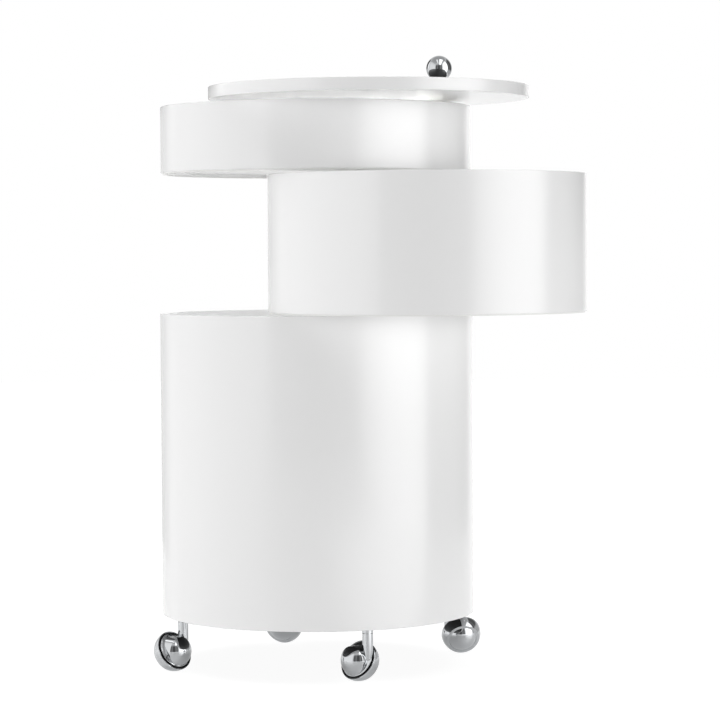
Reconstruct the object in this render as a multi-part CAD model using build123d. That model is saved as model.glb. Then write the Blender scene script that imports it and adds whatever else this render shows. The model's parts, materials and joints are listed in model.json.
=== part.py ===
"""Bar cart: a tall round base, two drawers and a top that swing about one post, on ball casters."""
from build123d import *
import math
import os

# Tiers
cart_diameter = 380.0
drawer_inset = 2.0
wall = 10.0
edge_round = 0.8
base_height = 364.0
middle_height = 161.0
upper_height = 79.5
top_thickness = 14.5
base_gap = 3.0
middle_gap = 5.5
upper_gap = 5.0
base_floor_thickness = 22.0
drawer_floor_thickness = 6.0
drawer_floor_recess = 3.0
inlay_rim = 6.0
inlay_thickness = 2.0
glide_inset = 1.0
glide_thickness = 1.5

# Pivot post and what runs on it
pivot_bearing = 22.5
middle_swing = 60.5
upper_swing = 0.0
top_swing = 35.2
post_diameter = 16.0
stud_diameter = 10.0
tube_wall = 2.0
bush_wall = 2.0
bush_length = 25.0
bush_flange_width = 0.5
bush_flange_thickness = 2.0
spacer_inset = 0.5
top_bush_wall = 2.5
top_bush_flange_width = 6.5
block_drop = 3.0
base_block_height = 60.0
foot_thickness = 5.0
foot_cup_wall = 4.0
foot_cup_height = 24.0

# Screws
screw_diameter = 4.0
screw_head_diameter = 8.0
screw_head_height = 3.0
screw_tip_cover = 3.0
screw_margin = 3.5
block_screw_inset = 18.0
block_screw_seat = 6.0
foot_screw_spread = 60.0
foot_screw_bite = 14.0

# Ball knob
knob_diameter = 32.0
knob_lift = 31.0
knob_neck_diameter = 14.0
knob_washer_thickness = 2.0
knob_washer_width = 5.0
stud_bite = 11.0

# Casters
caster_inset = 7.5
caster_bearing = 20.2
hood_bearings = {"right": 100.0, "back": 62.0, "left": 317.0, "front": 227.5}
ball_diameter = 49.0
ball_headroom = 14.0
trail = 14.8
axle_tilt = 28.5
wheel_wall = 1.4
wheel_edge = 0.8
wheel_lip_round = 0.4
tread_latitude = 33.0
face_land = 3.5
face_height = 8.5
core_drop = 1.8
axle_diameter = 6.0
axle_head_width = 1.6
axle_head_thickness = 1.7
axle_seat_depth = 2.6
hood_inset = 3.2
hood_rim_height = 1.0
hood_rim_round = 0.5
hood_rise = 4.0
boss_wall = 5.0
boss_depth = 6.0
nose_diameter = 35.2
nose_reach = 11.1
nose_round = 1.0
neck_wall = 2.25
neck_seat = 5.0
neck_groove = 0.9
neck_shoulder_wall = 1.0
pintle_diameter = 8.0
pintle_seat = 20.0
pintle_headroom = 1.5
socket_wall = 1.5
socket_cap = 1.5
socket_cover = 3.0
socket_flange_width = 1.0
socket_flange_height = 4.9

# Clearances
fit_gap = 0.02
running_gap = 0.05
head_gap = 0.1
shoulder_gap = 0.3
pivot_wall_gap = 0.4
hood_gap = 0.6
axle_end_gap = 1.0

# Heights above the floor
base_bottom = ball_diameter + ball_headroom
base_top = base_bottom + base_height
base_floor_top = base_bottom + base_floor_thickness
middle_bottom = base_top + base_gap
middle_top = middle_bottom + middle_height
upper_bottom = middle_top + middle_gap
upper_top = upper_bottom + upper_height
top_bottom = upper_top + upper_gap
top_face = top_bottom + top_thickness
post_shoulder = top_face + shoulder_gap
washer_top = post_shoulder + knob_washer_thickness
knob_radius = knob_diameter / 2
neck_top_radius = knob_neck_diameter / 2
knob_centre = top_face + knob_lift
knob_seat = knob_centre - math.sqrt(knob_radius**2 - neck_top_radius**2)

# Radii of the tiers and of the pieces on the post
base_outer = cart_diameter / 2
base_inner = base_outer - wall
drawer_outer = base_outer - drawer_inset
drawer_inner = drawer_outer - wall
post_radius = post_diameter / 2
post_fit = post_radius + fit_gap
post_bore = post_radius + running_gap
stud_radius = stud_diameter / 2
stud_fit = stud_radius + fit_gap
bush_radius = post_bore + bush_wall
tube_inner = bush_radius + fit_gap
tube_outer = tube_inner + tube_wall
tube_fit = tube_outer + fit_gap
bush_flange_radius = tube_outer + bush_flange_width
spacer_radius = bush_flange_radius - spacer_inset
pivot_radius = drawer_inner - pivot_wall_gap - bush_flange_radius

# Radii and places of the screws
screw_radius = screw_diameter / 2
screw_head_radius = screw_head_diameter / 2
block_screw_offset = tube_outer + screw_margin + screw_head_radius
block_radius = block_screw_offset + screw_head_radius + screw_margin
block_screw_seat_x = pivot_radius - block_screw_seat
foot_cup_radius = post_fit + foot_cup_wall
foot_screw_circle = foot_cup_radius + screw_margin + screw_head_radius
foot_radius = foot_screw_circle + screw_head_radius + screw_margin

FROM_BELOW = (Align.CENTER, Align.CENTER, Align.MIN)
FROM_ABOVE = (Align.CENTER, Align.CENTER, Align.MAX)


def disc(radius, bottom, top, x=0.0, y=0.0):
    """Upright cylinder between two heights."""
    return Pos(x, y, bottom) * Cylinder(radius, top - bottom, align=FROM_BELOW)


def collar(outer, inner, bottom, top, x=0.0):
    """Upright ring between two heights."""
    return disc(outer, bottom, top, x) - disc(inner, bottom, top, x)


def rod(radius, start, end, y, z):
    """Level cylinder along X."""
    return Pos(start, y, z) * Rot(0, 90, 0) * Cylinder(radius, end - start, align=FROM_BELOW)


def shell(outer, inner, bottom, top):
    """Open cylinder whose rims have rounded edges."""
    section = RectangleRounded(outer - inner, top - bottom, edge_round)
    return revolve(Plane.XZ * Pos((outer + inner) / 2, (top + bottom) / 2) * section, Axis.Z)


def turned(*edges):
    """Solid turned about Z from a closed outline in the XZ plane."""
    return revolve(Plane.XZ * make_face(Wire(edges)), Axis.Z)


def on_sphere(radius, height):
    """Radius of a sphere's slice at a height from its centre."""
    return math.sqrt(radius**2 - height**2)


def cap_sphere(radius, rise):
    """Radius of the sphere whose cap has this base radius and rise."""
    return (radius**2 + rise**2) / (2 * rise)


def swung(part, swing=0.0):
    """Turns a tier, modelled with the post on +X, to its place about the post."""
    post_x = pivot_radius * math.cos(math.radians(pivot_bearing))
    post_y = pivot_radius * math.sin(math.radians(pivot_bearing))
    return Pos(post_x, post_y, 0) * Rot(0, 0, pivot_bearing + swing) * Pos(-pivot_radius, 0, 0) * part


# Pivot blocks: each fills the space between the post and the wall, and is screwed to the wall
def block_screw_places(bottom, top):
    """Side offset and height of each screw of a block."""
    heights = (bottom + block_screw_inset, top - block_screw_inset)
    return [(side * block_screw_offset, height) for side in (-1, 1) for height in heights]


def block_screw_shank(inner, place, gap=0.0):
    """Shank of one block screw, from its head to its tip in the wall."""
    return rod(screw_radius + gap, block_screw_seat_x, inner + wall - screw_tip_cover, *place)


def block_screws(inner, bottom, top):
    """All the pan-head screws of one block."""
    screws = []
    for place in block_screw_places(bottom, top):
        head = rod(screw_head_radius, block_screw_seat_x - screw_head_height, block_screw_seat_x, *place)
        screws.append(head + block_screw_shank(inner, place))
    return Compound(screws)


def pivot_block(inner, bore, bottom, top):
    """Block cut to the wall's curve, with its bore and the screws' recesses."""
    body = disc(block_radius, bottom, top, pivot_radius) & disc(inner - fit_gap, bottom, top)
    body -= disc(bore, bottom, top, pivot_radius)
    for place in block_screw_places(bottom, top):
        mouth = block_screw_seat_x - block_radius
        body -= rod(screw_head_radius + fit_gap, mouth, block_screw_seat_x, *place)
        body -= block_screw_shank(inner, place, fit_gap)
    return body


def drilled_shell(outer, inner, bottom, top, block_bottom, block_top):
    """Open cylinder with pilot holes for the block's screws."""
    body = shell(outer, inner, bottom, top)
    for place in block_screw_places(block_bottom, block_top):
        body -= block_screw_shank(inner, place, fit_gap)
    return body


# Casters, in a frame with the swivel axis on Z, the floor at 0 and the hood facing +X
ball_radius = ball_diameter / 2
axle_frame = Pos(0, -trail, ball_radius) * Rot(0, 90 - axle_tilt, 0)
axle_radius = axle_diameter / 2
axle_fit = axle_radius + fit_gap
axle_bore = axle_radius + running_gap
axle_head_radius = axle_radius + axle_head_width
boss_radius = axle_fit + boss_wall
hood_radius = ball_radius - hood_inset
hood_back = wheel_edge + hood_gap
hood_rim_top = hood_back + hood_rim_height
axle_end = hood_back + axle_seat_depth
boss_end = hood_back - boss_depth
tread_end = -ball_radius * math.sin(math.radians(tread_latitude))
face_radius = on_sphere(ball_radius, tread_end) - face_land
face_curve = cap_sphere(face_radius, face_height)
face_pole = tread_end - face_height
face_centre = face_pole + face_curve
core_inset = wheel_wall + fit_gap
core_top = wheel_edge - core_drop
axle_head_bottom = face_pole + core_inset + axle_end_gap
axle_head_top = axle_head_bottom + axle_head_thickness
nose_radius = nose_diameter / 2
nose_curve = math.hypot(nose_reach, nose_radius)
pintle_radius = pintle_diameter / 2
pintle_fit = pintle_radius + fit_gap
neck_radius = pintle_fit + neck_wall
neck_shoulder = pintle_fit + neck_shoulder_wall
socket_bore = pintle_radius + running_gap
socket_radius = socket_bore + socket_wall
socket_flange_radius = socket_radius + socket_flange_width
socket_bottom = base_bottom - socket_flange_height
socket_top = base_floor_top - socket_cover
socket_roof = socket_top - socket_cap
neck_foot = ball_radius + neck_seat
neck_top = socket_bottom - neck_groove
pintle_bottom = socket_bottom - pintle_seat
caster_circle = base_inner - caster_inset


def wheel_form(inset, top):
    """The wheel's form drawn in by an inset: a zone of the ball, a flat land and a domed face."""
    ball = ball_radius - inset
    dome = face_curve - inset
    land = tread_end + inset
    middle = (top + land) / 2
    edge = (on_sphere(ball, top), top)
    land_outer = (on_sphere(ball, land), land)
    land_inner = (on_sphere(dome, face_centre - land), land)
    dome_middle_radius = land_inner[0] / 2
    dome_middle = (dome_middle_radius, face_centre - on_sphere(dome, dome_middle_radius))
    pole = (0, face_centre - dome)
    return turned(
        Line((0, top), edge),
        ThreePointArc(edge, (on_sphere(ball, middle), middle), land_outer),
        Line(land_outer, land_inner),
        ThreePointArc(land_inner, dome_middle, pole),
        Line(pole, (0, top)),
    )


def caster_wheel():
    """Thin shell whose outside is the wheel's tread and face, with a rounded lip."""
    body = wheel_form(0, wheel_edge) - wheel_form(wheel_wall, wheel_edge)
    return axle_frame * fillet(body.edges().group_by(Axis.Z)[-1], wheel_lip_round)


def caster_wheel_core():
    """Filling of the shell, with the axle's bore, a pocket for its head and room for the hood's boss."""
    body = wheel_form(core_inset, core_top)
    body -= disc(boss_radius + hood_gap, boss_end - hood_gap, core_top)
    body -= disc(axle_head_radius + head_gap, face_pole, axle_head_top + head_gap)
    return axle_frame * (body - disc(axle_bore, face_pole, core_top))


def caster_axle():
    """Pin pressed into the hood, with a head that is trapped between the wheel's core and shell."""
    head = disc(axle_head_radius, axle_head_bottom, axle_head_top)
    return axle_frame * (head + disc(axle_radius, axle_head_top, axle_end))


def hood_nose():
    """Level drum with a round edge and a domed end, about the ball's centre."""
    edge_radius = nose_radius - nose_round
    edge_start = on_sphere(nose_curve - nose_round, edge_radius)
    spread = nose_curve / (nose_curve - nose_round)
    back = (nose_radius, -nose_reach)
    front = (nose_radius, edge_start)
    edge = TangentArc(front, (edge_radius * spread, edge_start * spread), tangent=(0, 1))
    dome = TangentArc(edge @ 1, (0, nose_curve), tangent=edge % 1)
    axis = Line((0, nose_curve), (0, -nose_reach))
    form = turned(Line(back, front), edge, dome, axis, Line((0, -nose_reach), back))
    return Pos(0, -trail, ball_radius) * Rot(0, 90, 0) * form


def hood_neck():
    """Upright stem with a round foot and a groove below the socket's flange."""
    body = disc(neck_radius, neck_foot, neck_top) + Pos(0, 0, neck_foot) * Sphere(neck_radius)
    return body + disc(neck_shoulder, neck_top, socket_bottom)


def caster_hood():
    """Domed cover with a level nose, a boss for the axle and an upright neck."""
    curve = cap_sphere(hood_radius, hood_rise)
    crown = hood_rim_top + hood_rise
    dome_middle = (hood_radius / 2, crown - curve + on_sphere(curve, hood_radius / 2))
    dome = turned(
        Line((0, hood_back), (hood_radius, hood_back)),
        Line((hood_radius, hood_back), (hood_radius, hood_rim_top)),
        ThreePointArc((hood_radius, hood_rim_top), dome_middle, (0, crown)),
        Line((0, crown), (0, hood_back)),
    )
    span = 2 * ball_diameter
    wheel_side = axle_frame * Pos(0, 0, hood_back) * Box(span, span, span, align=FROM_ABOVE)
    rim = dome.edges().filter_by(lambda edge: edge.is_closed).sort_by(Axis.Z)[-1]
    body = axle_frame * fillet(rim, hood_rim_round)
    body += hood_nose() + hood_neck() - wheel_side
    body += axle_frame * disc(boss_radius, boss_end, hood_back)
    body -= axle_frame * disc(axle_fit, boss_end, axle_end)
    return body - disc(pintle_fit, pintle_bottom, socket_bottom)


def caster_pintle():
    """Upright pin, pressed into the neck and turning in the socket."""
    return disc(pintle_radius, pintle_bottom, socket_roof - pintle_headroom)


def caster_socket():
    """Flanged sleeve, closed at its top, let into the base floor."""
    body = disc(socket_flange_radius, socket_bottom, base_bottom)
    body += disc(socket_radius, base_bottom, socket_top)
    return body - disc(socket_bore, socket_bottom, socket_roof)


def caster_places():
    """Name, swivel axis and hood bearing of each caster."""
    places = []
    for index, (name, hood_bearing) in enumerate(hood_bearings.items()):
        bearing = math.radians(caster_bearing + index * 360 / len(hood_bearings))
        x = caster_circle * math.cos(bearing)
        y = caster_circle * math.sin(bearing)
        places.append((name, x, y, hood_bearing))
    return places


def caster_nodes():
    """The pieces of each caster, turned as its hood faces."""
    pieces = {
        "socket": caster_socket(),
        "pintle": caster_pintle(),
        "hood": caster_hood(),
        "axle": caster_axle(),
        "wheel_core": caster_wheel_core(),
        "wheel": caster_wheel(),
    }
    nodes = {}
    for name, x, y, hood_bearing in caster_places():
        for piece, part in pieces.items():
            nodes[f"caster_{name}_{piece}"] = Pos(x, y, 0) * Rot(0, 0, hood_bearing) * part
    return nodes


# Base, with the post that carries the drawers, the top and the knob
foot_top = base_floor_top + foot_thickness
base_block_top = base_top - block_drop
base_block_bottom = base_block_top - base_block_height


def foot_screw_places():
    """Centres of the foot plate's screws, on its side away from the wall."""
    places = []
    for step in (-1, 0, 1):
        angle = math.radians(180 + step * foot_screw_spread)
        x = pivot_radius + foot_screw_circle * math.cos(angle)
        places.append((x, foot_screw_circle * math.sin(angle)))
    return places


def foot_screw_shank(place, gap=0.0):
    """Shank of one foot screw, down into the base floor."""
    return disc(screw_radius + gap, base_floor_top - foot_screw_bite, foot_top, *place)


def foot_screws():
    """The pan-head screws that hold the foot plate down."""
    screws = []
    for place in foot_screw_places():
        head = disc(screw_head_radius, foot_top, foot_top + screw_head_height, *place)
        screws.append(head + foot_screw_shank(place))
    return Compound(screws)


def base_floor():
    """Round panel at the bottom of the base, bored for the sockets and the foot's screws."""
    panel = disc(base_inner - fit_gap, base_bottom, base_floor_top)
    for _, x, y, _ in caster_places():
        panel -= disc(socket_radius + fit_gap, base_bottom, socket_top, x, y)
    for place in foot_screw_places():
        panel -= swung(foot_screw_shank(place, fit_gap))
    return panel


def post_foot():
    """Plate on the base floor with a cup for the post."""
    cup_top = base_floor_top + foot_cup_height
    body = disc(foot_radius, base_floor_top, foot_top, pivot_radius)
    body &= disc(base_inner - fit_gap, base_floor_top, foot_top)
    body += disc(foot_cup_radius, base_floor_top, cup_top, pivot_radius)
    body -= disc(post_fit, base_floor_top, cup_top, pivot_radius)
    for place in foot_screw_places():
        body -= foot_screw_shank(place, fit_gap)
    return body


def pivot_post():
    """Upright rod from the base floor to the washer, with a thinner stud for the knob."""
    body = disc(post_radius, base_floor_top, post_shoulder, pivot_radius)
    return body + disc(stud_radius, post_shoulder, knob_seat + stud_bite, pivot_radius)


def ball_knob():
    """Ball with a flat seat and a blind bore for the stud."""
    body = Pos(pivot_radius, 0, knob_centre) * Sphere(knob_radius)
    body &= disc(knob_diameter, knob_seat, knob_centre + knob_diameter, pivot_radius)
    return body - disc(stud_fit, knob_seat, knob_seat + stud_bite + fit_gap, pivot_radius)


def post_spacers():
    """Collars on the post that set the gaps between the tiers."""
    lower_flange = drawer_floor_recess - bush_flange_thickness
    upper_flange = bush_flange_thickness - block_drop
    spans = {
        "base_spacer": (base_block_top, middle_bottom + lower_flange),
        "middle_spacer": (middle_top + upper_flange, upper_bottom + lower_flange),
        "upper_spacer": (upper_top + upper_flange, top_bottom - bush_flange_thickness),
    }
    return {name: collar(spacer_radius, post_fit, *span, pivot_radius) for name, span in spans.items()}


def base_nodes():
    """Everything fixed to the base and its post."""
    block_span = (base_block_bottom, base_block_top)
    washer_radius = stud_fit + knob_washer_width
    nodes = {
        "base_shell": drilled_shell(base_outer, base_inner, base_bottom, base_top, *block_span),
        "base_pivot_block": pivot_block(base_inner, post_fit, *block_span),
        "base_block_screws": block_screws(base_inner, *block_span),
        "pivot_post": pivot_post(),
        "post_foot": post_foot(),
        "post_foot_screws": foot_screws(),
        "knob_washer": collar(washer_radius, stud_fit, post_shoulder, washer_top, pivot_radius),
        "knob_neck": collar(neck_top_radius, stud_fit, washer_top, knob_seat, pivot_radius),
        "ball_knob": ball_knob(),
    }
    nodes.update(post_spacers())
    placed = {name: swung(part) for name, part in nodes.items()}
    placed["base_floor"] = base_floor()
    return placed


# Drawers
def drawer_nodes(name, bottom, top, swing):
    """One drawer with its pivot bearing, swung to its place."""
    floor_bottom = bottom + drawer_floor_recess
    floor_top = floor_bottom + drawer_floor_thickness
    block_top = top - block_drop
    block_span = (floor_top, block_top)
    floor = disc(drawer_inner - fit_gap, floor_bottom, floor_top)
    floor -= disc(tube_fit, floor_bottom, floor_top, pivot_radius)
    glide_outer = drawer_outer - edge_round - glide_inset
    glide_inner = drawer_inner + edge_round + glide_inset
    lower_flange = (floor_bottom - bush_flange_thickness, floor_bottom)
    lower_bush = collar(bush_flange_radius, post_bore, *lower_flange, pivot_radius)
    lower_bush += collar(bush_radius, post_bore, floor_bottom, floor_bottom + bush_length, pivot_radius)
    upper_flange = (block_top, block_top + bush_flange_thickness)
    upper_bush = collar(bush_flange_radius, post_bore, *upper_flange, pivot_radius)
    upper_bush += collar(bush_radius, post_bore, block_top - bush_length, block_top, pivot_radius)
    nodes = {
        "shell": drilled_shell(drawer_outer, drawer_inner, bottom, top, *block_span),
        "floor": floor,
        "glide_ring": collar(glide_outer, glide_inner, bottom - glide_thickness, bottom),
        "pivot_block": pivot_block(drawer_inner, tube_fit, *block_span),
        "block_screws": block_screws(drawer_inner, *block_span),
        "pivot_tube": collar(tube_outer, tube_inner, floor_bottom, block_top, pivot_radius),
        "lower_bush": lower_bush,
        "upper_bush": upper_bush,
    }
    return {f"{name}_{piece}": swung(part, swing) for piece, part in nodes.items()}


# Top
def top_nodes():
    """Round top with the inlay let into its face and the bush that it turns on."""
    radius = post_bore + top_bush_wall
    flange_radius = radius + top_bush_flange_width
    inlay_radius = base_outer - inlay_rim
    inlay_bottom = top_face - inlay_thickness
    plate = disc(base_outer, top_bottom, top_face)
    plate = fillet(plate.edges().filter_by(GeomType.CIRCLE), edge_round)
    plate -= disc(inlay_radius + fit_gap, inlay_bottom, top_face)
    plate -= disc(radius + fit_gap, top_bottom, top_face, pivot_radius)
    inlay = disc(inlay_radius, inlay_bottom, top_face)
    inlay -= disc(radius + fit_gap, inlay_bottom, top_face, pivot_radius)
    bush = collar(flange_radius, post_bore, top_bottom - bush_flange_thickness, top_bottom, pivot_radius)
    bush += collar(radius, post_bore, top_bottom, top_face, pivot_radius)
    nodes = {"top_disc": plate, "top_inlay": inlay, "top_bush": bush}
    return {name: swung(part, top_swing) for name, part in nodes.items()}


def all_nodes():
    """Every piece of the cart by name."""
    nodes = base_nodes()
    nodes.update(drawer_nodes("middle", middle_bottom, middle_top, middle_swing))
    nodes.update(drawer_nodes("upper", upper_bottom, upper_top, upper_swing))
    nodes.update(top_nodes())
    nodes.update(caster_nodes())
    return nodes


os.makedirs("parts", exist_ok=True)
for node, shape in all_nodes().items():
    export_step(shape, f"parts/{node}.step")
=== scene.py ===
"""Looks of a bar cart whose round drawers swing about one post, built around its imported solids.

The white tiers are turned rings, the screws are set out on their seats, and every other solid is
dressed where it stands. Lengths are in metres, unless a name ends in mm.
"""

import json
import logging
import math
from abc import ABC, abstractmethod
from collections.abc import Sequence
from dataclasses import dataclass
from enum import Enum
from typing import Any, ClassVar

import bpy
from mathutils import Matrix, Vector


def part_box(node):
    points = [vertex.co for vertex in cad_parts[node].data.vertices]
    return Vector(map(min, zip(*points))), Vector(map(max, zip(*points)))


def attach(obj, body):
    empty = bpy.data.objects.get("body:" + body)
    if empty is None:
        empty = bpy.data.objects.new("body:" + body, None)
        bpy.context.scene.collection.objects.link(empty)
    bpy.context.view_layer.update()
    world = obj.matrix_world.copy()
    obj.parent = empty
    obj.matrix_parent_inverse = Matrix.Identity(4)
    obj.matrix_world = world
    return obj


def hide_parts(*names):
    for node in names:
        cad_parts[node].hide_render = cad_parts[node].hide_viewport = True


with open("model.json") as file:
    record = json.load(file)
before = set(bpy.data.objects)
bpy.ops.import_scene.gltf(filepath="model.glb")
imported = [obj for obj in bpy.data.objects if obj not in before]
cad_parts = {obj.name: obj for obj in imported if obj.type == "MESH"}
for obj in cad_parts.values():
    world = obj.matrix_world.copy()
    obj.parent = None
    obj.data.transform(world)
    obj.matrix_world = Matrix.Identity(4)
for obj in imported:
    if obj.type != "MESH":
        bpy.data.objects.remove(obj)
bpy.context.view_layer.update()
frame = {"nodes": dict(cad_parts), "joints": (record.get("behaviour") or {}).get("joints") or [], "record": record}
MM = 0.001
UP = Vector((0, 0, 1))
LEVEL = Vector((1, 1, 0))
WHITE = (1.0, 1.0, 1.0, 1.0)
SCREW_AXIS = "axis"
SHEET_GLOW = "glow"
LOG = logging.getLogger("bar_cart")

Tree = bpy.types.NodeTree
Node = bpy.types.Node
Socket = bpy.types.NodeSocket
Material = bpy.types.Material
Piece = bpy.types.Object


class Body(Enum):
    """Bodies of the tiers and the top."""

    BASE = "base"
    MIDDLE_DRAWER = "middle_drawer"
    UPPER_DRAWER = "upper_drawer"
    TOP = "top"


class Side(Enum):
    """Sides of the base that have a caster."""

    RIGHT = "right"
    BACK = "back"
    LEFT = "left"
    FRONT = "front"


class Slot(Enum):
    """Material slots of the record."""

    WHITE_SHELL = "white_shell"
    WHITE_PANEL = "white_panel"
    TOP_LINING = "top_lining"
    BASE_PANEL = "base_panel"
    PIVOT_BLOCK = "pivot_block"
    BEARING_PLASTIC = "bearing_plastic"
    GLIDE = "glide"
    WHEEL_CORE = "wheel_core"
    CHROME = "chrome"
    STEEL = "steel"
    SCREW = "screw"


def srgb(code: str) -> tuple[float, float, float, float]:
    """Turns an sRGB hex value into a linear colour.

    Args:
        code: Hex digits such as "F0F0F0".

    Returns:
        Linear red, green and blue with an alpha of 1.
    """
    shares = [int(code[start:start + 2], 16) / 255 for start in (0, 2, 4)]
    linear = [share / 12.92 if share <= 0.04045 else ((share + 0.055) / 1.055) ** 2.4
              for share in shares]
    return (*linear, 1.0)


def per_metre(size_mm: float) -> float:
    """Texture scale whose features are this many millimetres apart."""
    return 1000 / size_mm


def node(
    tree: Tree, kind: str, inputs: dict[str | int, Any] | None = None, **settings: Any,
) -> Node:
    """Adds one node with its settings, values and links.

    Args:
        tree: Tree that gets the node.
        kind: Type name of the node.
        inputs: By the input's name or number, a value, an output socket, a node whose first
            output is meant, or a list of these for an input that takes several.
        settings: Properties of the node itself.

    Returns:
        The new node.
    """
    made = tree.nodes.new(kind)
    for name, value in settings.items():
        setattr(made, name, value)
    for key, value in (inputs or {}).items():
        for source in value if isinstance(value, list) else [value]:
            if isinstance(source, Node):
                source = source.outputs[0]
            if isinstance(source, Socket):
                tree.links.new(source, made.inputs[key])
            else:
                made.inputs[key].default_value = source
    return made


def bare_material(name: str) -> Material:
    """Starts a material with an empty tree.

    Args:
        name: Name of the material.

    Returns:
        The material.
    """
    made = bpy.data.materials.new(name)
    made.use_nodes = True
    made.node_tree.nodes.clear()
    return made


def stand(name: str, data: bpy.types.ID) -> Piece:
    """Brings a mesh, a lamp or a camera into the scene.

    Args:
        name: Name of the object.
        data: The mesh, lamp or camera.

    Returns:
        The object.
    """
    made = bpy.data.objects.new(name, data)
    bpy.context.scene.collection.objects.link(made)
    return made


# Finishes


@dataclass(frozen=True)
class Finish(ABC):
    """A surface with one shader, whose pattern each kind of material adds."""

    name: str
    colour: str
    roughness: float
    roughness_spread: float
    spread_mm: float = 40.0
    spread_detail: float = 3.0
    ior: float = 1.5
    metallic: float = 0.0
    relief_mm: float = 0.0

    def material(self) -> Material:
        """Gives the finish's material, made on first use.

        Returns:
            The material.
        """
        known = bpy.data.materials.get(self.name)
        if known:
            return known
        made = bare_material(self.name)
        tree = made.node_tree
        shader = node(tree, "ShaderNodeBsdfPrincipled", {
            "Base Color": srgb(self.colour),
            "Roughness": self.roughness,
            "Metallic": self.metallic,
            "IOR": self.ior,
        })
        place = node(tree, "ShaderNodeTexCoord").outputs["Object"]
        cloud = node(tree, "ShaderNodeTexNoise", {
            "Vector": place, "Scale": per_metre(self.spread_mm), "Detail": self.spread_detail,
        })
        level = node(tree, "ShaderNodeMapRange", {
            "Value": cloud,
            "To Min": self.roughness - self.roughness_spread,
            "To Max": self.roughness + self.roughness_spread,
        })
        tree.links.new(level.outputs["Result"], shader.inputs["Roughness"])
        height = self.pattern(tree, shader, place)
        if height is not None:
            bump = node(tree, "ShaderNodeBump", {
                "Height": height, "Strength": 1.0, "Distance": self.relief_mm * MM,
            })
            tree.links.new(bump.outputs["Normal"], shader.inputs["Normal"])
        node(tree, "ShaderNodeOutputMaterial", {"Surface": shader})
        return made

    @abstractmethod
    def pattern(self, tree: Tree, shader: Node, place: Socket) -> Node | Socket | None:
        """Adds what shows on this kind of surface.

        Args:
            tree: The material's tree.
            shader: The surface shader.
            place: Object coordinates.

        Returns:
            Height pattern from 0 to 1 that is raised by relief_mm, or None on a flat surface.
        """


@dataclass(frozen=True)
class LacqueredAbs(Finish):
    """Moulded ABS under clear lacquer: even and bright, soft-edged lights, a faint orange peel."""

    coat_roughness: float = 0.1
    peel_mm: float = 3.0
    peel_detail: float = 1.0
    relief_mm: float = 0.0012

    def pattern(self, tree: Tree, shader: Node, place: Socket) -> Node:
        """Adds the lacquer and its orange peel.

        Args:
            tree: The material's tree.
            shader: The surface shader.
            place: Object coordinates.

        Returns:
            The orange peel.
        """
        shader.inputs["Coat Weight"].default_value = 1.0
        shader.inputs["Coat Roughness"].default_value = self.coat_roughness
        return node(tree, "ShaderNodeTexNoise", {
            "Vector": place, "Scale": per_metre(self.peel_mm), "Detail": self.peel_detail,
        })


@dataclass(frozen=True)
class SparkedPlastic(Finish):
    """Plastic from a spark-eroded mould or press plate: matte to satin, with an even fine grain."""

    grain_mm: float = 1.0
    grain_detail: float = 2.0
    relief_mm: float = 0.03

    def pattern(self, tree: Tree, shader: Node, place: Socket) -> Node:
        """Adds the mould's grain, drawn coarser than the real 0.2 mm so that it shows."""
        return node(tree, "ShaderNodeTexNoise", {
            "Vector": place, "Scale": per_metre(self.grain_mm), "Detail": self.grain_detail,
        })


@dataclass(frozen=True)
class Acetal(Finish):
    """Turned natural acetal: off-white, a little translucent, with fine rings from the lathe."""

    glow: float = 0.15
    glow_mm: float = 1.5
    ring_mm: float = 0.6
    ring_waver: float = 0.4
    relief_mm: float = 0.01

    def pattern(self, tree: Tree, shader: Node, place: Socket) -> Socket:
        """Adds the light that enters it and the rings up its length.

        Args:
            tree: The material's tree.
            shader: The surface shader.
            place: Object coordinates.

        Returns:
            The rings.
        """
        shader.inputs["Subsurface Weight"].default_value = self.glow
        shader.inputs["Subsurface Radius"].default_value = (self.glow_mm * MM,) * 3
        rings = node(tree, "ShaderNodeTexWave", {
            "Vector": place,
            "Scale": per_metre(self.ring_mm) / math.tau,
            "Distortion": self.ring_waver,
        }, bands_direction="Z")
        return rings.outputs["Fac"]


@dataclass(frozen=True)
class PaintedPlywood(Finish):
    """Plywood: brushed black paint below that shows the grain, and a white laminate face."""

    face_colour: str = "EDEDEC"
    face_node: str = "base_floor"
    face_mm: float = 0.8
    grain_mm: float = 3.0
    grain_stretch: float = 0.06
    grain_detail: float = 4.0
    grain_waver: float = 0.3
    relief_mm: float = 0.08

    def pattern(self, tree: Tree, shader: Node, place: Socket) -> Node:
        """Lays the pale laminate on the upper face and adds the grain under the paint.

        Args:
            tree: The material's tree.
            shader: The surface shader.
            place: Object coordinates.

        Returns:
            The grain.
        """
        height = node(tree, "ShaderNodeSeparateXYZ", {"Vector": place}).outputs["Z"]
        glue_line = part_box(self.face_node)[1].z - self.face_mm * MM
        above = node(tree, "ShaderNodeMath", {0: height, 1: glue_line}, operation="GREATER_THAN")
        tone = node(tree, "ShaderNodeValToRGB", {"Fac": above})
        tone.color_ramp.elements[0].color = srgb(self.colour)
        tone.color_ramp.elements[1].color = srgb(self.face_colour)
        tree.links.new(tone.outputs["Color"], shader.inputs["Base Color"])
        along = node(tree, "ShaderNodeMapping", {
            "Vector": place, "Scale": (1.0, self.grain_stretch, 1.0),
        })
        return node(tree, "ShaderNodeTexNoise", {
            "Vector": along, "Scale": per_metre(self.grain_mm),
            "Detail": self.grain_detail, "Distortion": self.grain_waver,
        })


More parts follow.
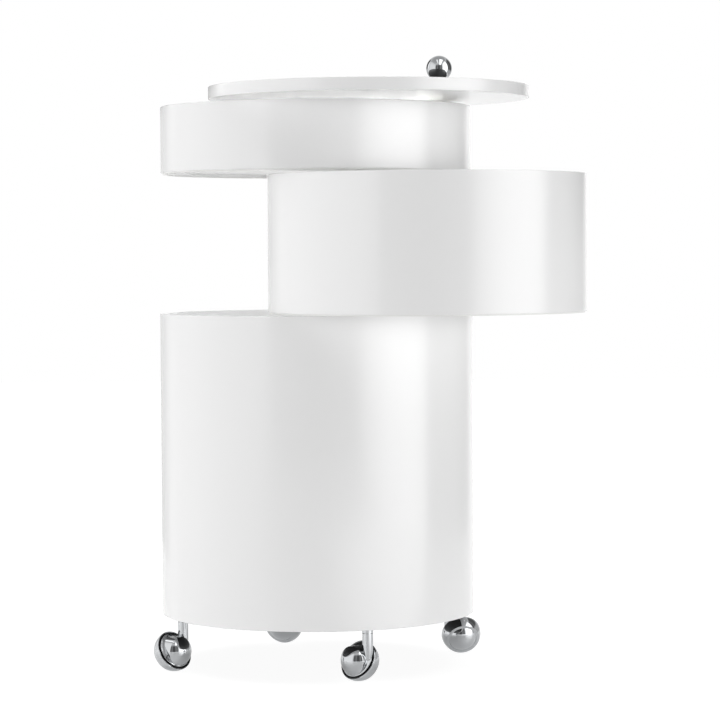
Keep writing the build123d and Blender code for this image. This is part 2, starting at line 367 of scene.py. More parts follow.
@dataclass(frozen=True)
class Linoleum(Finish):
    """Waxed linoleum: a deep black with a fine cork mottle, and a soft sheen from the wax."""

    fleck_colour: str = "2A2A2B"
    mottle_mm: float = 5.0
    mottle_detail: float = 5.0
    mottle_span: tuple[float, float] = (0.45, 0.75)
    fleck_mm: float = 1.2
    fleck_detail: float = 2.0
    relief_mm: float = 0.008

    def pattern(self, tree: Tree, shader: Node, place: Socket) -> Node:
        """Adds the mottle of cork dust in the black.

        Args:
            tree: The material's tree.
            shader: The surface shader.
            place: Object coordinates.

        Returns:
            The flecks.
        """
        mottle = node(tree, "ShaderNodeTexNoise", {
            "Vector": place, "Scale": per_metre(self.mottle_mm), "Detail": self.mottle_detail,
        })
        tone = node(tree, "ShaderNodeValToRGB", {"Fac": mottle})
        colours = (self.colour, self.fleck_colour)
        for stop, colour, share in zip(tone.color_ramp.elements, colours, self.mottle_span):
            stop.color = srgb(colour)
            stop.position = share
        tree.links.new(tone.outputs["Color"], shader.inputs["Base Color"])
        return node(tree, "ShaderNodeTexNoise", {
            "Vector": place, "Scale": per_metre(self.fleck_mm), "Detail": self.fleck_detail,
        })


@dataclass(frozen=True)
class Chrome(Finish):
    """Polished chrome plate: a cool mirror, with the slow waves of the buffed metal under it."""

    wave_mm: float = 9.0
    wave_detail: float = 0.0
    relief_mm: float = 0.006

    def pattern(self, tree: Tree, shader: Node, place: Socket) -> Node:
        """Adds the waves left by buffing."""
        return node(tree, "ShaderNodeTexNoise", {
            "Vector": place, "Scale": per_metre(self.wave_mm), "Detail": self.wave_detail,
        })


@dataclass(frozen=True)
class DrawnSteel(Finish):
    """Bright drawn steel: a soft mirror with fine lines along its length from the die."""

    line_mm: float = 0.7
    line_stretch: float = 0.004
    line_detail: float = 2.0
    relief_mm: float = 0.01

    def pattern(self, tree: Tree, shader: Node, place: Socket) -> Node:
        """Adds the die lines, drawn coarser than the real ones so that they show."""
        along = node(tree, "ShaderNodeMapping", {
            "Vector": place, "Scale": (1.0, 1.0, self.line_stretch),
        })
        return node(tree, "ShaderNodeTexNoise", {
            "Vector": along, "Scale": per_metre(self.line_mm), "Detail": self.line_detail,
        })


@dataclass(frozen=True)
class ZincPlate(Finish):
    """Zinc-plated steel: a grey, slightly cloudy metal with pale clouds of warm yellow."""

    warm_colour: str = "CFC9AE"
    cloud_mm: float = 4.0
    cloud_detail: float = 3.0

    def pattern(self, tree: Tree, shader: Node, place: Socket) -> None:
        """Adds the clouds of the passivated zinc.

        Args:
            tree: The material's tree.
            shader: The surface shader.
            place: Object coordinates.
        """
        cloud = node(tree, "ShaderNodeTexNoise", {
            "Vector": place, "Scale": per_metre(self.cloud_mm), "Detail": self.cloud_detail,
        })
        tone = node(tree, "ShaderNodeValToRGB", {"Fac": cloud})
        tone.color_ramp.elements[0].color = srgb(self.colour)
        tone.color_ramp.elements[1].color = srgb(self.warm_colour)
        tree.links.new(tone.outputs["Color"], shader.inputs["Base Color"])


FINISHES: dict[Slot, Finish] = {
    Slot.WHITE_SHELL: LacqueredAbs(
        "abs_white_lacquered", "F3F3F3", roughness=0.33, roughness_spread=0.02),
    # Pressed satin laminate: the smoothest of the white plastics, with a blurred mirror.
    Slot.WHITE_PANEL: SparkedPlastic(
        "laminate_white_satin", "F2F2F1", roughness=0.22, roughness_spread=0.02, relief_mm=0.0004),
    Slot.TOP_LINING: Linoleum(
        "linoleum_black_waxed", "141415", roughness=0.42, roughness_spread=0.05),
    Slot.BASE_PANEL: PaintedPlywood(
        "plywood_black_painted", "0C0C0D", roughness=0.5, roughness_spread=0.06),
    Slot.PIVOT_BLOCK: SparkedPlastic(
        "abs_white_sparked", "E8E8E6", roughness=0.5, roughness_spread=0.04),
    Slot.BEARING_PLASTIC: Acetal(
        "acetal_natural_turned", "ECEAE2", roughness=0.38, roughness_spread=0.04, ior=1.48),
    # Moulded polyethylene: a waxy white, a little duller than the walls.
    Slot.GLIDE: SparkedPlastic(
        "polyethylene_white_moulded", "E8E8E6", roughness=0.45, roughness_spread=0.05,
        relief_mm=0.01),
    # Moulded nylon: a dull black behind the chrome.
    Slot.WHEEL_CORE: SparkedPlastic(
        "nylon_black_moulded", "121213", roughness=0.5, roughness_spread=0.05, relief_mm=0.015),
    Slot.CHROME: Chrome(
        "chrome_polished_plate", "C6C8CA", roughness=0.05, roughness_spread=0.015, spread_mm=12.0,
        metallic=1.0),
    Slot.STEEL: DrawnSteel(
        "steel_bright_drawn", "B9BABC", roughness=0.22, roughness_spread=0.03, spread_mm=15.0,
        metallic=1.0),
    Slot.SCREW: ZincPlate(
        "steel_zinc_plated", "C3C6C8", roughness=0.36, roughness_spread=0.06, spread_mm=3.0,
        metallic=1.0),
}
SLOT_OF = {row["node"]: Slot(row["material_slot"]) for row in frame["record"]["subparts"]}
BODY_NODES: dict[str, list[str]] = frame["record"]["behaviour"]["bodies"]
HINGE_PLACE = {joint["name"]: Vector(joint["pos_m"]) for joint in frame["joints"]}
POST = HINGE_PLACE["middle_swing"] * LEVEL


# Geometry trees


@dataclass(frozen=True)
class ScrewSeat:
    """Where a screw's head rests, and the way the head faces."""

    place: Vector
    axis: Vector


def geometry_tree(name: str, sizes: dict[str, str]) -> tuple[Tree, Node]:
    """Starts a geometry tree with named inputs.

    Args:
        name: Name of the tree.
        sizes: Socket type of each input by its name.

    Returns:
        The tree and its input node.
    """
    tree = bpy.data.node_groups.new(name, "GeometryNodeTree")
    tree.interface.new_socket("Geometry", in_out="INPUT", socket_type="NodeSocketGeometry")
    for label, kind in sizes.items():
        tree.interface.new_socket(label, in_out="INPUT", socket_type="NodeSocket" + kind)
    tree.interface.new_socket("Geometry", in_out="OUTPUT", socket_type="NodeSocketGeometry")
    return tree, node(tree, "NodeGroupInput")


def close_tree(tree: Tree, shape: Node, material: Socket) -> None:
    """Ends a geometry tree: real geometry, and its material.

    Args:
        tree: The tree.
        shape: Node whose geometry is handed out.
        material: Material input of the tree.
    """
    solid = node(tree, "GeometryNodeRealizeInstances", {"Geometry": shape})
    dressed = node(tree, "GeometryNodeSetMaterial", {"Geometry": solid, "Material": material})
    node(tree, "NodeGroupOutput", {"Geometry": dressed})


def grown(
    name: str, tree: Tree, values: dict[str, Any], seats: Sequence[ScrewSeat] = (),
) -> Piece:
    """Runs a geometry tree and keeps what it makes as a plain mesh.

    Args:
        name: Name of the piece.
        tree: Geometry tree to run.
        values: Value of each input by its name.
        seats: Points with their axes that the tree starts from, where it needs any.

    Returns:
        The piece, at the origin with its place in its mesh.
    """
    start = bpy.data.meshes.new(name)
    start.from_pydata([seat.place for seat in seats], [], [])
    axes = start.attributes.new(SCREW_AXIS, "FLOAT_VECTOR", "POINT")
    for row, seat in zip(axes.data, seats):
        row.vector = seat.axis
    piece = stand(name, start)
    maker = piece.modifiers.new("shape", "NODES")
    maker.node_group = tree
    for item in tree.interface.items_tree:
        if item.in_out == "INPUT" and item.name in values:
            maker[item.identifier] = values[item.name]
    piece.modifiers.new("flat_faces_first", "WEIGHTED_NORMAL").keep_sharp = True
    graph = bpy.context.evaluated_depsgraph_get()
    mesh = bpy.data.meshes.new_from_object(
        piece.evaluated_get(graph), preserve_all_data_layers=True, depsgraph=graph)
    piece.modifiers.clear()
    piece.data = mesh
    mesh.name = name
    return piece


# Sub-assemblies


@dataclass
class TierWall:
    """Open round wall of the base or of a drawer, turned in one piece with rounded rims."""

    node: str
    wall_mm: float = 10.0
    edge_round_mm: float = 0.8
    round_steps: int = 8
    segments: int = 288
    tree: ClassVar[Tree | None] = None

    @classmethod
    def turned_ring(cls) -> Tree:
        """Gives the tree that sweeps a rounded wall section round a circle, made on first use.

        Returns:
            The geometry tree.
        """
        if cls.tree:
            return cls.tree
        tree, sizes = geometry_tree("turned_ring", {
            "Centre": "Vector", "Mean Radius": "Float", "Wall": "Float", "Height": "Float",
            "Edge Round": "Float", "Round Steps": "Int", "Segments": "Int",
            "Material": "Material",
        })
        given = sizes.outputs
        section = node(tree, "GeometryNodeCurvePrimitiveQuadrilateral", {
            "Width": given["Wall"], "Height": given["Height"],
        })
        rounded = node(tree, "GeometryNodeFilletCurve", {
            "Curve": section, "Count": given["Round Steps"], "Radius": given["Edge Round"],
        }, mode="POLY")
        path = node(tree, "GeometryNodeCurvePrimitiveCircle", {
            "Resolution": given["Segments"], "Radius": given["Mean Radius"],
        })
        swept = node(tree, "GeometryNodeCurveToMesh", {"Curve": path, "Profile Curve": rounded})
        placed = node(tree, "GeometryNodeTransform", {
            "Geometry": swept, "Translation": given["Centre"],
        })
        smooth = node(tree, "GeometryNodeSetShadeSmooth", {"Geometry": placed})
        close_tree(tree, smooth, given["Material"])
        cls.tree = tree
        return tree

    def build(self) -> Piece:
        """Makes the wall where its solid stands.

        Returns:
            The piece.
        """
        low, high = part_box(self.node)
        return grown(f"{self.node}_turned", self.turned_ring(), {
            "Centre": (low + high) / 2,
            "Mean Radius": (high.x - low.x - self.wall_mm * MM) / 2,
            "Wall": self.wall_mm * MM,
            "Height": high.z - low.z,
            "Edge Round": self.edge_round_mm * MM,
            "Round Steps": self.round_steps,
            "Segments": self.segments,
            "Material": FINISHES[Slot.WHITE_SHELL].material(),
        })


@dataclass
class PanHeadScrews:
    """Pan-head screws with a cross recess, one set for each body."""

    name: str
    head_radius_mm: float = 4.0
    head_height_mm: float = 3.0
    crown_mm: float = 1.1
    crown_rings: int = 6
    shank_radius_mm: float = 1.9
    shank_length_mm: float = 12.0
    recess_width_mm: float = 1.1
    recess_length_mm: float = 4.6
    recess_depth_mm: float = 1.8
    foot_spread_deg: float = 60.0
    sides: int = 32
    seed: int = 7
    tree: ClassVar[Tree | None] = None

    @classmethod
    def set_screws(cls) -> Tree:
        """Gives the tree that makes one screw and sets it on each point, made on first use.

        Returns:
            The geometry tree.
        """
        if cls.tree:
            return cls.tree
        tree, sizes = geometry_tree("set_screws", {
            "Head Radius": "Float", "Head Edge": "Float", "Crown": "Float", "Crown Rings": "Int",
            "Shank Radius": "Float", "Shank Length": "Float", "Recess Width": "Float",
            "Recess Length": "Float", "Recess Depth": "Float", "Sides": "Int", "Seed": "Int",
            "Material": "Material",
        })
        cls.set_on_points(tree, sizes, cls.one_screw(tree, sizes))
        cls.tree = tree
        return tree

    @staticmethod
    def one_screw(tree: Tree, sizes: Node) -> Node:
        """Makes one upright screw whose head rests at the origin.

        Args:
            tree: The geometry tree.
            sizes: Its input node.

        Returns:
            Node with the screw.
        """
        given = sizes.outputs
        # The head is a drum whose upper face rises to a crown.
        half_edge = node(tree, "ShaderNodeMath", {
            0: given["Head Edge"], 1: 0.5,
        }, operation="MULTIPLY")
        drum = node(tree, "GeometryNodeMeshCylinder", {
            "Vertices": given["Sides"], "Fill Segments": given["Crown Rings"],
            "Radius": given["Head Radius"], "Depth": given["Head Edge"],
        })
        seated = node(tree, "GeometryNodeTransform", {
            "Geometry": drum, "Translation": node(tree, "ShaderNodeCombineXYZ", {"Z": half_edge}),
        })
        position = node(tree, "GeometryNodeInputPosition")
        spot = node(tree, "ShaderNodeSeparateXYZ", {"Vector": position}).outputs
        x_square, y_square, radius_square = (
            node(tree, "ShaderNodeMath", {0: distance, 1: 2.0}, operation="POWER")
            for distance in (spot["X"], spot["Y"], given["Head Radius"]))
        reach = node(tree, "ShaderNodeMath", {0: x_square, 1: y_square}, operation="ADD")
        share = node(tree, "ShaderNodeMath", {0: reach, 1: radius_square}, operation="DIVIDE")
        slope = node(tree, "ShaderNodeMath", {0: 1.0, 1: share}, operation="SUBTRACT")
        rise = node(tree, "ShaderNodeMath", {0: given["Crown"], 1: slope}, operation="MULTIPLY")
        crowned = node(tree, "GeometryNodeSetPosition", {
            "Geometry": seated,
            "Selection": node(tree, "ShaderNodeMath", {
                0: spot["Z"], 1: half_edge,
            }, operation="GREATER_THAN"),
            "Offset": node(tree, "ShaderNodeCombineXYZ", {"Z": rise}),
        })
        # Two crossed blocks, half sunk into the crown, cut the recess.
        block_height = node(tree, "ShaderNodeMath", {
            0: given["Recess Depth"], 1: 2.0,
        }, operation="MULTIPLY")
        crown_top = node(tree, "ShaderNodeMath", {
            0: given["Head Edge"], 1: given["Crown"],
        }, operation="ADD")
        to_crown = node(tree, "ShaderNodeCombineXYZ", {"Z": crown_top})
        length, width = given["Recess Length"], given["Recess Width"]
        wings = []
        for x_size, y_size in ((length, width), (width, length)):
            size = node(tree, "ShaderNodeCombineXYZ", {
                "X": x_size, "Y": y_size, "Z": block_height,
            })
            wings.append(node(tree, "GeometryNodeTransform", {
                "Geometry": node(tree, "GeometryNodeMeshCube", {"Size": size}),
                "Translation": to_crown,
            }))
        head = node(tree, "GeometryNodeMeshBoolean", {
            0: crowned, 1: wings,
        }, operation="DIFFERENCE")
        # The shank hangs from the seat.
        middle = node(tree, "ShaderNodeMath", {
            0: given["Shank Length"], 1: -0.5,
        }, operation="MULTIPLY")
        shank = node(tree, "GeometryNodeTransform", {
            "Geometry": node(tree, "GeometryNodeMeshCylinder", {
                "Vertices": given["Sides"], "Radius": given["Shank Radius"],
                "Depth": given["Shank Length"],
            }),
            "Translation": node(tree, "ShaderNodeCombineXYZ", {"Z": middle}),
        })
        return node(tree, "GeometryNodeJoinGeometry", {"Geometry": [head, shank]})

    @staticmethod
    def set_on_points(tree: Tree, sizes: Node, screw: Node) -> None:
        """Sets the screw on each point along its axis, with its recess turned at random.

        Args:
            tree: The geometry tree.
            sizes: Its input node.
            screw: Node with the screw.
        """
        given = sizes.outputs
        axis = node(tree, "GeometryNodeInputNamedAttribute", {
            "Name": SCREW_AXIS,
        }, data_type="FLOAT_VECTOR")
        facing = node(tree, "FunctionNodeAlignRotationToVector", {"Vector": axis}, axis="Z")
        turn = node(tree, "FunctionNodeRandomValue", {
            "Max": (0.0, 0.0, math.tau), "Seed": given["Seed"],
        }, data_type="FLOAT_VECTOR")
        turned = node(tree, "FunctionNodeRotateRotation", {
            "Rotation": facing,
            "Rotate By": node(tree, "FunctionNodeEulerToRotation", {"Euler": turn}),
        }, rotation_space="LOCAL")
        screws = node(tree, "GeometryNodeInstanceOnPoints", {
            "Points": given["Geometry"], "Instance": screw, "Rotation": turned,
        })
        close_tree(tree, screws, given["Material"])

    @staticmethod
    def inward(wall: str) -> Vector:
        """Gives the level direction from the post to the middle of a wall."""
        low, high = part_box(wall)
        return (((low + high) / 2 - POST) * LEVEL).normalized()

    @staticmethod
    def corners(screws: str) -> list[Vector]:
        """Gives the corners of the screws' solids, measured from the post's foot."""
        return [vertex.co - POST for vertex in frame["nodes"][screws].data.vertices]

    def block_seats(self, screws: str, wall: str) -> list[ScrewSeat]:
        """Reads the seats of a pivot block's four screws from their solids.

        Args:
            screws: Node that holds the screws.
            wall: Node of the wall that they go into.

        Returns:
            One seat for each screw.
        """
        inward = self.inward(wall)
        side = UP.cross(inward)
        corners = self.corners(screws)
        seat = max(corner.dot(inward) for corner in corners) - self.head_height_mm * MM
        spread = max(corner.dot(side) for corner in corners) - self.head_radius_mm * MM
        low_seat = min(corner.z for corner in corners) + self.head_radius_mm * MM
        high_seat = max(corner.z for corner in corners) - self.head_radius_mm * MM
        return [ScrewSeat(POST + inward * seat + side * across + UP * height, inward)
                for across in (-spread, spread) for height in (low_seat, high_seat)]

    def foot_seats(self, screws: str, wall: str) -> list[ScrewSeat]:
        """Reads the seats of the foot plate's screws, which stand on its side away from the wall.

        Args:
            screws: Node that holds the screws.
            wall: Node of the wall beside it.

        Returns:
            One seat for each screw.
        """
        inward = self.inward(wall)
        corners = self.corners(screws)
        circle = max(corner.xy.length for corner in corners) - self.head_radius_mm * MM
        height = max(corner.z for corner in corners) - self.head_height_mm * MM
        seats = []
        for step in (-1, 0, 1):
            turn = Matrix.Rotation(math.radians(step * self.foot_spread_deg), 3, "Z")
            seats.append(ScrewSeat(POST + turn @ inward * circle + UP * height, UP))
        return seats

    def build(self, seats: list[ScrewSeat]) -> Piece:
        """Makes the screws on their seats.

        Args:
            seats: Seat of each screw.

        Returns:
            The piece.
        """
        return grown(self.name, self.set_screws(), {
            "Head Radius": self.head_radius_mm * MM,
            "Head Edge": (self.head_height_mm - self.crown_mm) * MM,
            "Crown": self.crown_mm * MM,
            "Crown Rings": self.crown_rings,
            "Shank Radius": self.shank_radius_mm * MM,
            "Shank Length": self.shank_length_mm * MM,
            "Recess Width": self.recess_width_mm * MM,
            "Recess Length": self.recess_length_mm * MM,
            "Recess Depth": self.recess_depth_mm * MM,
            "Sides": self.sides,
            "Seed": self.seed,
            "Material": FINISHES[Slot.SCREW].material(),
        }, seats)


@dataclass
class SubAssembly:
    """A group of solids that is dressed together. What it makes new rides on its first body."""

    bodies: tuple[str, ...]

    def build(self) -> None:
        """Dresses the solids, which is all that a group without a wall needs."""
        self.dress()

    def dress(self) -> None:
        """Gives each solid of the group the finish of its slot."""
        for name in (name for body in self.bodies for name in BODY_NODES[body]):
            finish = FINISHES[SLOT_OF[name]]
            solid = frame["nodes"][name]
            solid.data.materials.clear()
            solid.data.materials.append(finish.material())
            LOG.info("%s: %s", name, finish.name)

    def place(self, piece: Piece, slot: Slot, *nodes: str) -> None:
        """Lets a new piece stand for solids of the group.

        Args:
            piece: The new piece.
            slot: Material slot of the solids; not used.
            nodes: Solids that it stands for.
        """
        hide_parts(*nodes)
        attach(piece, self.bodies[0])
        LOG.info("%s: %d faces for %s", piece.name, len(piece.data.polygons), ", ".join(nodes))


@dataclass
class Base(SubAssembly):
    """Open base with its floor, the post with its foot, and the ball knob on the post."""

    bodies: tuple[str, ...] = (Body.BASE.value,)
    shell: str = "base_shell"
    block_screws: str = "base_block_screws"
    foot_screws: str = "post_foot_screws"

    def build(self) -> None:
        """Dresses the solids and makes the wall and the screws."""
        self.dress()
        self.place(TierWall(self.shell).build(), Slot.WHITE_SHELL, self.shell)
        maker = PanHeadScrews("base_screws")
        seats = maker.block_seats(self.block_screws, self.shell)
        seats += maker.foot_seats(self.foot_screws, self.shell)
        self.place(maker.build(seats), Slot.SCREW, self.block_screws, self.foot_screws)


@dataclass
class Drawer(SubAssembly):
    """Round drawer that swings about the post."""

    prefix: str

    def build(self) -> None:
        """Dresses the solids and makes the wall and the screws."""
        self.dress()
        shell, screws = f"{self.prefix}_shell", f"{self.prefix}_block_screws"
        self.place(TierWall(shell).build(), Slot.WHITE_SHELL, shell)
        maker = PanHeadScrews(f"{self.prefix}_screws")
        self.place(maker.build(maker.block_seats(screws, shell)), Slot.SCREW, screws)


@dataclass
class Top(SubAssembly):
    """Round top with its inlay and bush."""

    bodies: tuple[str, ...] = (Body.TOP.value,)


@dataclass
class Caster(SubAssembly):
    """Ball caster: a hood that swivels and a wheel that rolls."""


# Studio


@dataclass(frozen=True)
class Sheet:
    """A flat sheet that only reflections show, bright as a softbox, dark as a flag, or laid on the floor as a
    painted pool of light.

    Its stops are pairs of a share of its run and a radiance. Its rows are pairs of a share of its
    rise and a weight, from 1 for the stops' radiance to 0 for the surround's.
    """

    name: str
    corner: tuple[float, float, float]
    run: tuple[float, float, float]
    rise: tuple[float, float, float]
    stops: tuple[tuple[float, float], ...]
    rows: tuple[tuple[float, float], ...] = ((0.0, 1.0), (0.7, 1.0), (1.0, 0.0))
    surround: float = 1.0

    def build(self) -> None:
        """Hangs the sheet and sets the radiance at each of its points."""
        corner, run, rise = Vector(self.corner), Vector(self.run), Vector(self.rise)
        count = len(self.stops)
        points = [corner + run * along + rise * up
                  for up, _ in self.rows for along, _ in self.stops]
        firsts = [row * count + step
                  for row in range(len(self.rows) - 1) for step in range(count - 1)]
        faces = [(first, first + 1, first + count + 1, first + count) for first in firsts]
        mesh = bpy.data.meshes.new(self.name)
        mesh.from_pydata(points, [], faces)
        glows = [self.surround + (radiance - self.surround) * weight
                 for _, weight in self.rows for _, radiance in self.stops]
        for point, glow in zip(mesh.attributes.new(SHEET_GLOW, "FLOAT", "POINT").data, glows):
            point.value = glow
        mesh.materials.append(self.cloth())
        sheet = stand(self.name, mesh)
        for kind in ("camera", "diffuse", "shadow", "transmission"):
            setattr(sheet, f"visible_{kind}", False)

    def cloth(self) -> Material:
        """Makes the cloth, which glows as much as its points say.

        Returns:
            The material.
        """
        material = bare_material(self.name)
        tree = material.node_tree
        level = node(tree, "ShaderNodeAttribute", attribute_name=SHEET_GLOW).outputs["Fac"]
        light = node(tree, "ShaderNodeEmission", {"Color": WHITE, "Strength": level})
        node(tree, "ShaderNodeOutputMaterial", {"Surface": light})
        return material


@dataclass(frozen=True)
class FillLamp:
    """A small lamp that lights a hollow of the cart, all round or upwards in a soft-edged cone."""

    name: str
    place: tuple[float, float, float]
    watts: float
    radius_mm: float
    cone_deg: float | None = None

    def build(self) -> None:
        """Hangs the lamp, which shows in no reflection."""
        data = bpy.data.lights.new(self.name, "SPOT" if self.cone_deg else "POINT")
        if self.cone_deg:
            data.spot_size = math.radians(self.cone_deg)
            data.spot_blend = 1.0
        data.energy = self.watts
        data.shadow_soft_size = self.radius_mm * MM
        lamp = stand(self.name, data)
        lamp.location = self.place
        lamp.rotation_euler.x = math.pi
        lamp.visible_camera = False
        lamp.visible_glossy = False


OVERHEAD_ROWS = ((0.0, 0.0), (0.05, 1.0), (0.85, 1.0), (1.0, 0.0))


@dataclass
class Studio:
    """White cove with a pale floor, soft even light, softboxes and dark flags."""

    lamps: tuple[FillLamp, ...] = (
        FillLamp("fill_upper_drawer", (0.06, 0.0, 0.64), watts=0.24, radius_mm=25.0),
        FillLamp(
            "fill_under_drawer", (-0.16, 0.0, 0.5), watts=0.1, radius_mm=20.0, cone_deg=115.0),
        FillLamp("fill_middle_drawer", (0.13, -0.1, 0.48), watts=0.04, radius_mm=25.0),
        FillLamp("fill_base", (0.0, 0.0, 0.25), watts=0.4, radius_mm=25.0),
    )
    # The cove's light by the height of its direction: an even fill, a level band, and a cap each
    # below and overhead.
    fill: float = 0.05
    band: float = 3.65
    band_width: float = 0.17
    nadir: float = 1.1
    nadir_span: tuple[float, float] = (-0.95, -0.7)
    zenith: float = 2.2
    zenith_span: tuple[float, float] = (0.75, 0.95)
    # The lean of that light to one side, and how much more comes from both sides than from
    # the front and the back.
    lean: tuple[float, float, float] = (-0.04, 0.03, 0.0)
    sideways: float = 0.2
    # What reflections show of the cove overhead.
    zenith_mirrored: float = 0.5
    zenith_mirrored_span: tuple[float, float] = (0.3, 0.9)
    # The floor, as the camera sees it and as reflections show it.
    floor_size: float = 14.0
    floor_glow: float = 0.93
    floor_share: float = 0.2
    floor_glow_mirrored: float = 0.35
    floor_share_mirrored: float = 0.7
    floor_roughness: float = 0.25
    sheets: tuple[Sheet, ...] = (
        Sheet(
            "softbox_right",
            corner=(1.7, -2.975, 0.0), run=(0.0, 2.825, 0.0), rise=(0.0, 0.0, 3.0),
            stops=((0.0, 0.4), (0.16, 1.5), (0.287, 1.9), (0.6, 3.0), (0.85, 3.0), (0.95, 2.3),
                   (1.0, 0.8)),
            rows=((0.0, 1.0), (0.61, 1.0), (1.0, 0.0))),
        # Painted light: a glowing sheet laid just above the floor and seen only in reflections, standing for the
        # right softbox's light falling on the floor.
        Sheet(
            "painted_light_pool_right",
            corner=(0.15, -1.9, 0.002), run=(1.55, 0.0, 0.0), rise=(0.0, 1.75, 0.0),
            stops=((0.0, 0.8), (0.12, 1.7), (0.4, 2.2), (1.0, 2.4)),
            rows=((0.0, 0.0), (0.2, 1.0), (0.9, 1.0), (1.0, 0.0)), surround=0.8),
        Sheet(
            "softbox_left",
            corner=(-0.9, -1.45, 0.0), run=(0.0, 1.7, 0.0), rise=(0.0, 0.0, 1.7),
            stops=((0.0, 0.6), (0.1, 1.2), (0.9, 1.2), (1.0, 1.0))),
        Sheet(
            "strip_left",
            corner=(-1.069, 0.508, 0.0), run=(0.084, 0.185, 0.0), rise=(0.0, 0.0, 1.7),
            stops=((0.0, 1.0), (0.2, 1.9), (0.8, 1.9), (1.0, 1.0)),
            rows=((0.0, 0.1), (0.42, 0.1), (0.48, 1.0), (0.9, 1.0), (1.0, 0.0))),
        Sheet(
            "flag_left",
            corner=(-0.93, 0.77, 0.0), run=(0.53, 0.73, 0.0), rise=(0.0, 0.0, 1.9),
            stops=((0.0, 1.0), (0.1, 0.12), (1.0, 0.12)),
            rows=((0.0, 0.34), (0.38, 0.34), (0.43, 1.0), (0.8, 1.0), (1.0, 0.0))),
        Sheet(
            "flag_right",
            corner=(1.7, -0.12, 0.0), run=(-0.7, 1.62, 0.0), rise=(0.0, 0.0, 2.4),
            stops=((0.0, 1.0), (0.05, 0.12), (0.2, 0.12), (0.276, 0.3), (0.35, 0.12),
                   (0.75, 0.12), (1.0, 0.85)),
            rows=((0.0, 0.5), (0.2, 0.5), (0.27, 1.0), (0.8, 1.0), (1.0, 0.0))),
        Sheet(
            "flag_camera",
            corner=(-1.914, -3.0, 0.0), run=(3.564, 0.0, 0.0), rise=(0.0, 0.0, 3.6),
            stops=((0.0, 1.1), (0.043, 0.15), (0.215, 0.15), (0.365, 0.3), (0.444, 0.1),
                   (0.625, 0.1), (0.731, 0.35), (0.794, 0.2), (1.0, 0.25)),
            rows=((0.0, 1.0), (0.55, 1.0), (1.0, 0.0))),
        Sheet(
            "softbox_top",
            corner=(0.18, 0.06, 2.0), run=(0.58, 0.0, 0.0), rise=(0.0, -2.4, 0.0),
            stops=((0.0, 0.6), (0.06, 2.2), (0.94, 2.2), (1.0, 0.6)),
            rows=OVERHEAD_ROWS, surround=0.6),
        Sheet(
            "strip_top",
            corner=(-0.28, 0.0, 2.0), run=(0.25, 0.0, 0.0), rise=(0.0, -1.3, 0.0),
            stops=((0.0, 0.6), (0.1, 1.43), (0.9, 1.43), (1.0, 0.6)),
            rows=OVERHEAD_ROWS, surround=0.6),
    )
    lens_mm: float = 131.59
    sensor_mm: float = 36.0
    camera_place: tuple[float, float, float] = (0.05253, -3.20586, 0.5002)
    camera_pitch: float = 0.041
    camera_roll: float = 0.0058

    def build(self) -> None:
        """Sets up the world, the floor, the lamps, the sheets and the camera."""
        self.light_world()
        self.lay_floor()
        for item in (*self.lamps, *self.sheets):
            item.build()
        self.set_camera()
        bpy.context.scene.view_settings.view_transform = "Standard"

    def light_world(self) -> None:
        """Makes the cove: white to the camera, dimmer overhead in reflections, and soft light."""
        world = bpy.data.worlds.new("white_cove")
        bpy.context.scene.world = world
        world.use_nodes = True
        tree = world.node_tree
        tree.nodes.clear()
        ray = node(tree, "ShaderNodeLightPath").outputs
        way = node(tree, "ShaderNodeTexCoord").outputs["Generated"]
        part = node(tree, "ShaderNodeSeparateXYZ", {"Vector": way}).outputs

        offset = node(tree, "ShaderNodeMath", {
            0: part["Z"], 1: self.band_width,
        }, operation="DIVIDE")
        square = node(tree, "ShaderNodeMath", {0: offset, 1: offset}, operation="MULTIPLY")
        fading = node(tree, "ShaderNodeMath", {0: square, 1: -1.0}, operation="MULTIPLY")
        bell = node(tree, "ShaderNodeMath", {0: fading}, operation="EXPONENT")
        band = node(tree, "ShaderNodeMath", {0: bell, 1: self.band}, operation="MULTIPLY")
        filled = node(tree, "ShaderNodeMath", {0: band, 1: self.fill}, operation="ADD")
        above, below, overhead = (
            node(tree, "ShaderNodeMapRange", {
                "Value": part["Z"], "From Min": span[0], "From Max": span[1],
                "To Min": start, "To Max": end,
            }, interpolation_type="SMOOTHSTEP")
            for span, start, end in (
                (self.zenith_span, 0.0, self.zenith),
                (self.nadir_span, self.nadir, 0.0),
                (self.zenith_mirrored_span, 1.0, self.zenith_mirrored)))
        caps = node(tree, "ShaderNodeMath", {0: above, 1: below}, operation="ADD")
        soft = node(tree, "ShaderNodeMath", {0: filled, 1: caps}, operation="ADD")

        leaning = node(tree, "ShaderNodeVectorMath", {
            0: way, 1: self.lean,
        }, operation="DOT_PRODUCT").outputs["Value"]
        x_square, y_square = (
            node(tree, "ShaderNodeMath", {0: part[axis], 1: 2.0}, operation="POWER")
            for axis in ("X", "Y"))
        across = node(tree, "ShaderNodeMath", {0: x_square, 1: y_square}, operation="SUBTRACT")
        aside = node(tree, "ShaderNodeMath", {
            0: across, 1: self.sideways, 2: 1.0,
        }, operation="MULTIPLY_ADD")
        share = node(tree, "ShaderNodeMath", {0: leaning, 1: aside}, operation="ADD")
        level = node(tree, "ShaderNodeMath", {0: soft, 1: share}, operation="MULTIPLY")

        light, mirrored, backdrop = (
            node(tree, "ShaderNodeBackground", {"Color": WHITE, "Strength": strength})
            for strength in (level, overhead, 1.0))
        mirror_ray = node(tree, "ShaderNodeMath", {
            0: ray["Is Glossy Ray"], 1: ray["Is Transmission Ray"],
        }, operation="MAXIMUM")
        unseen = node(tree, "ShaderNodeMixShader", {0: mirror_ray, 1: light, 2: mirrored})
        cove = node(tree, "ShaderNodeMixShader", {
            0: ray["Is Camera Ray"], 1: unseen, 2: backdrop,
        })
        node(tree, "ShaderNodeOutputWorld", {"Surface": cove})

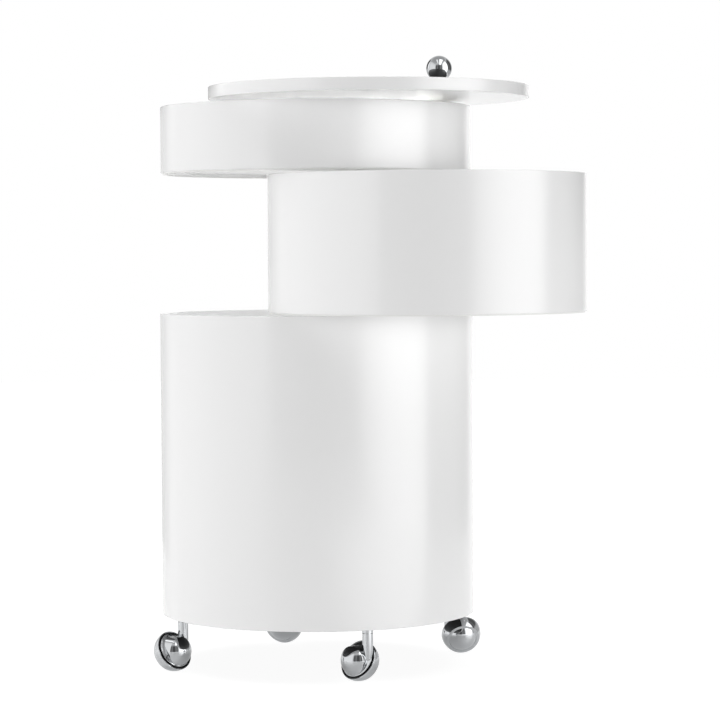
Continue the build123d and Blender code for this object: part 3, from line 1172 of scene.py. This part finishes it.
    def lay_floor(self) -> None:
        """Lays a floor that looks white with a faint shadow, and is a glossy grey in the chrome."""
        half = self.floor_size / 2
        corners = [(-half, -half, 0), (half, -half, 0), (half, half, 0), (-half, half, 0)]
        mesh = bpy.data.meshes.new("studio_floor")
        mesh.from_pydata(corners, [], [(0, 1, 2, 3)])
        material = bare_material("acrylic_white_gloss")
        tree = material.node_tree
        seen = node(tree, "ShaderNodeBsdfDiffuse", {"Color": (*(self.floor_share,) * 3, 1.0)})
        glow = node(tree, "ShaderNodeEmission", {"Color": WHITE, "Strength": self.floor_glow})
        white = node(tree, "ShaderNodeAddShader", {0: seen, 1: glow})
        mirrored = node(tree, "ShaderNodeBsdfPrincipled", {
            "Base Color": (*(self.floor_share_mirrored,) * 3, 1.0),
            "Roughness": self.floor_roughness,
            "Emission Color": WHITE, "Emission Strength": self.floor_glow_mirrored,
        })
        ray = node(tree, "ShaderNodeLightPath").outputs
        mixed = node(tree, "ShaderNodeMixShader", {
            0: ray["Is Camera Ray"], 1: mirrored, 2: white,
        })
        node(tree, "ShaderNodeOutputMaterial", {"Surface": mixed})
        mesh.materials.append(material)
        floor = stand("studio_floor", mesh)
        floor.visible_diffuse = False
        floor.visible_shadow = False

    def set_camera(self) -> None:
        """Stands the camera where the cart shows as in the product view."""
        data = bpy.data.cameras.new("camera")
        data.lens = self.lens_mm
        data.sensor_width = self.sensor_mm
        camera = stand("camera", data)
        tilt = Matrix.Rotation(math.pi / 2 - self.camera_pitch, 4, "X")
        roll = Matrix.Rotation(-self.camera_roll, 4, "Z")
        camera.matrix_world = Matrix.Translation(self.camera_place) @ tilt @ roll
        bpy.context.scene.camera = camera


def main() -> None:
    """Builds the cart's looks and the studio round it."""
    logging.basicConfig(level=logging.INFO, format="%(name)s %(message)s")
    drawers = [
        Drawer((Body.MIDDLE_DRAWER.value,), "middle"),
        Drawer((Body.UPPER_DRAWER.value,), "upper"),
    ]
    casters = [Caster((f"caster_{side.value}_swivel", f"caster_{side.value}_roller"))
               for side in Side]
    for group in (Base(), *drawers, Top(), *casters):
        group.build()
    Studio().build()


if __name__ == "__main__":
    main()
